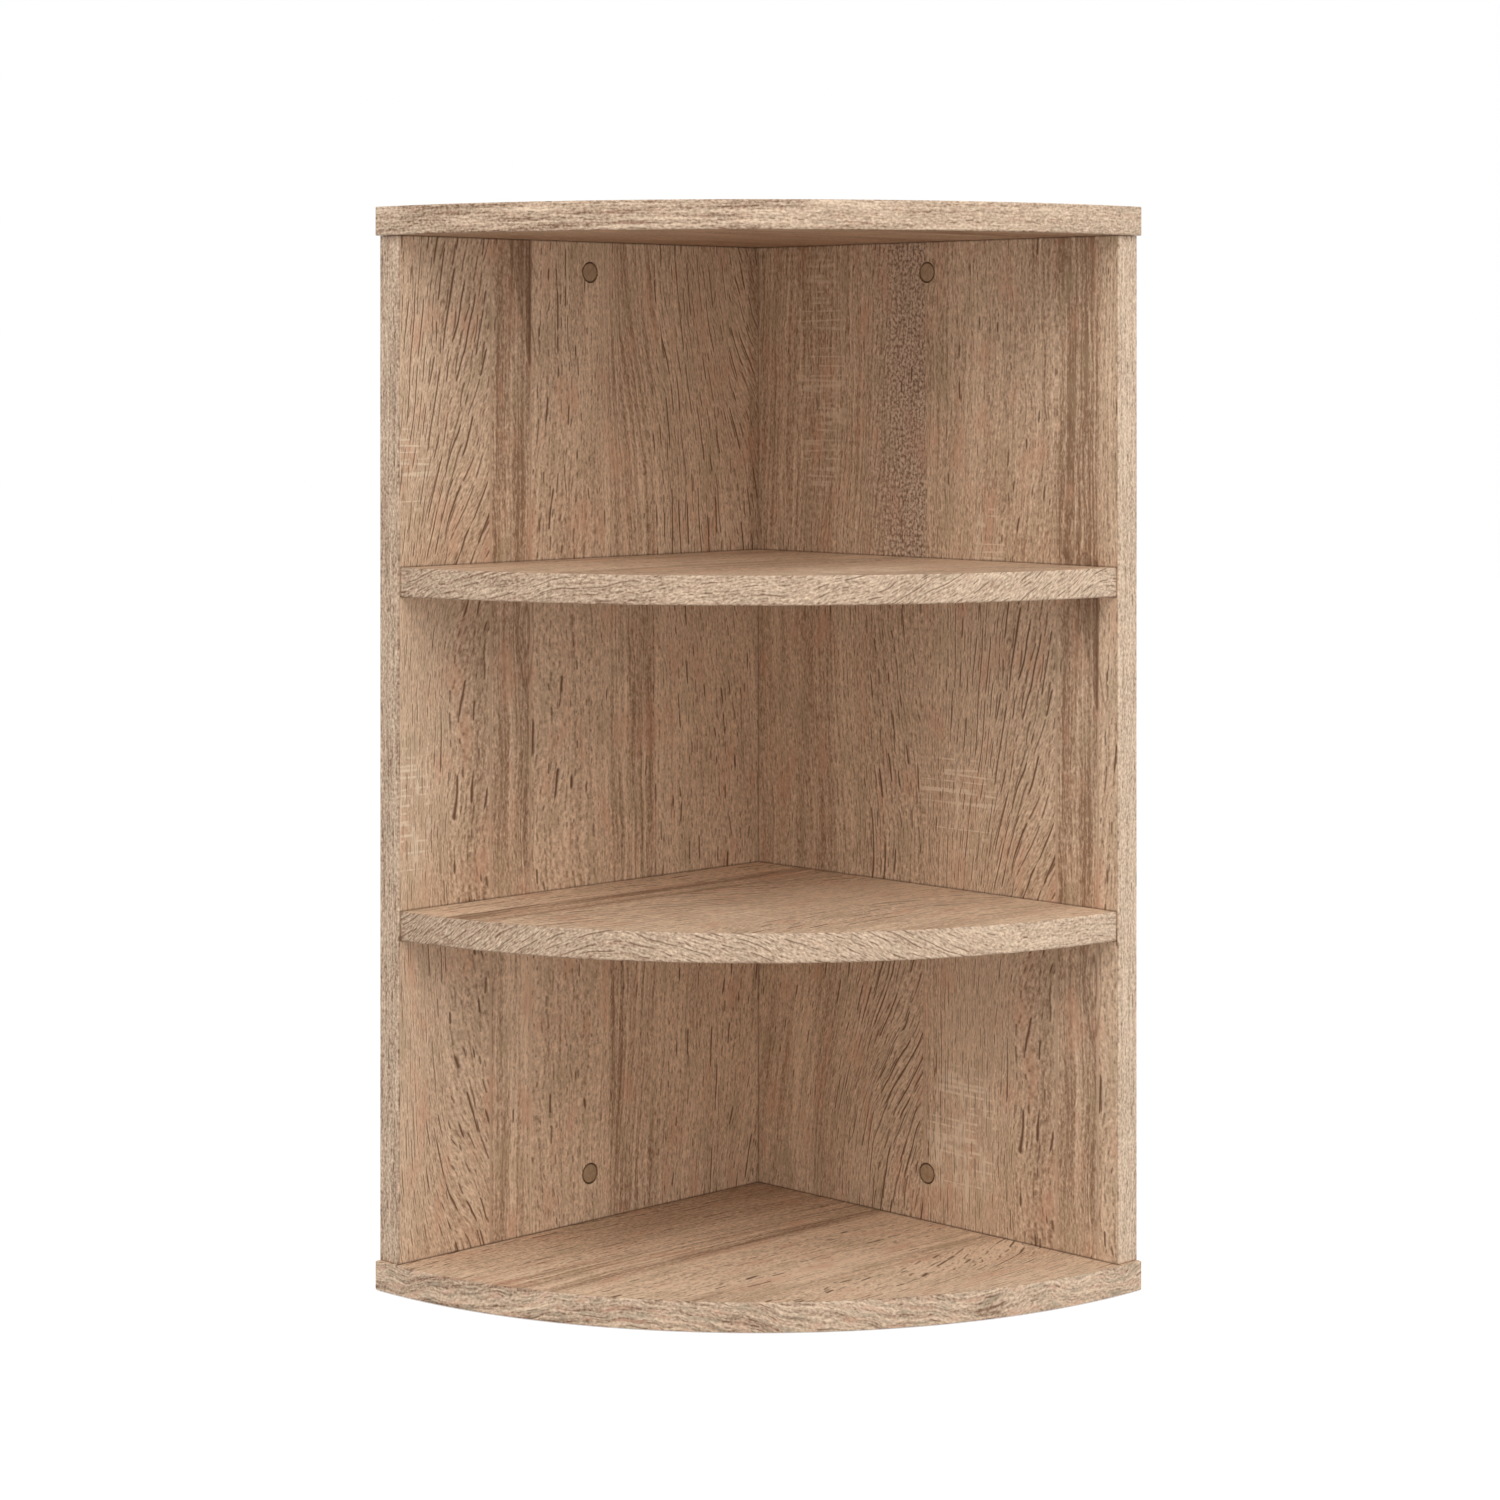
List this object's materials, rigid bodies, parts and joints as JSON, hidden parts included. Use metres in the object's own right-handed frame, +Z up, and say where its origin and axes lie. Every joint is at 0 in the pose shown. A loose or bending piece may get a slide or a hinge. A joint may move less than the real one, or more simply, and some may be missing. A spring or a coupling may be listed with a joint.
{
  "type": "corner shelf unit",
  "caption": "Quarter-round corner shelf unit in light oak decor, open at the front, with two side panels, a top board, a bottom board and inner shelves.",
  "frame": {"origin": "centre of the square that the footprint fills, on the floor under the bottom board", "axes": "+Z up; the outer back corner is at -X +Y; the left side panel stands on the -X face and runs along Y, the right side panel stands on the +Y face and runs along X; the open round front faces +X -Y"},
  "size_m": [0.3, 0.3, 0.6004],
  "materials": {
    "oak_laminate": "light oak decor with fine open pores, on 16 mm chipboard whose unbanded edges are raw",
    "oak_edge_band": "printed light oak decor with short pores, softly rounded edges",
    "cap_plastic": "plain brown, satin",
    "cover_disc": "thin self-adhesive disc in plain light oak colour",
    "zinc_plated_steel": "bright zinc plating"
  },
  "bodies": {
    "root": {"left_side_panel": "oak_laminate", "right_side_panel": "oak_laminate", "top_board": "oak_laminate", "bottom_board": "oak_laminate", "upper_shelf": "oak_laminate", "lower_shelf": "oak_laminate", "left_panel_edge_band": "oak_edge_band", "right_panel_edge_band": "oak_edge_band", "top_board_edge_band": "oak_edge_band", "bottom_board_edge_band": "oak_edge_band", "upper_shelf_edge_band": "oak_edge_band", "lower_shelf_edge_band": "oak_edge_band", "top_screw_left_rear": "zinc_plated_steel", "top_screw_left_front": "zinc_plated_steel", "top_screw_right_rear": "zinc_plated_steel", "top_screw_right_front": "zinc_plated_steel", "bottom_screw_left_rear": "zinc_plated_steel", "bottom_screw_left_front": "zinc_plated_steel", "bottom_screw_right_rear": "zinc_plated_steel", "bottom_screw_right_front": "zinc_plated_steel", "lower_shelf_screw_left_rear": "zinc_plated_steel", "lower_shelf_screw_left_front": "zinc_plated_steel", "lower_shelf_screw_right_rear": "zinc_plated_steel", "lower_shelf_screw_right_front": "zinc_plated_steel", "upper_shelf_screw_left_rear": "zinc_plated_steel", "upper_shelf_screw_left_front": "zinc_plated_steel", "upper_shelf_screw_right_rear": "zinc_plated_steel", "upper_shelf_screw_right_front": "zinc_plated_steel", "corner_screw_low": "zinc_plated_steel", "corner_screw_middle": "zinc_plated_steel", "corner_screw_high": "zinc_plated_steel", "cover_plug_left_upper": "cap_plastic", "cover_plug_left_lower": "cap_plastic", "cover_plug_right_upper": "cap_plastic", "cover_plug_right_lower": "cap_plastic", "top_cover_disc_left_rear": "cover_disc", "top_cover_disc_left_front": "cover_disc", "top_cover_disc_right_rear": "cover_disc", "top_cover_disc_right_front": "cover_disc"}
  },
  "joints": []
}
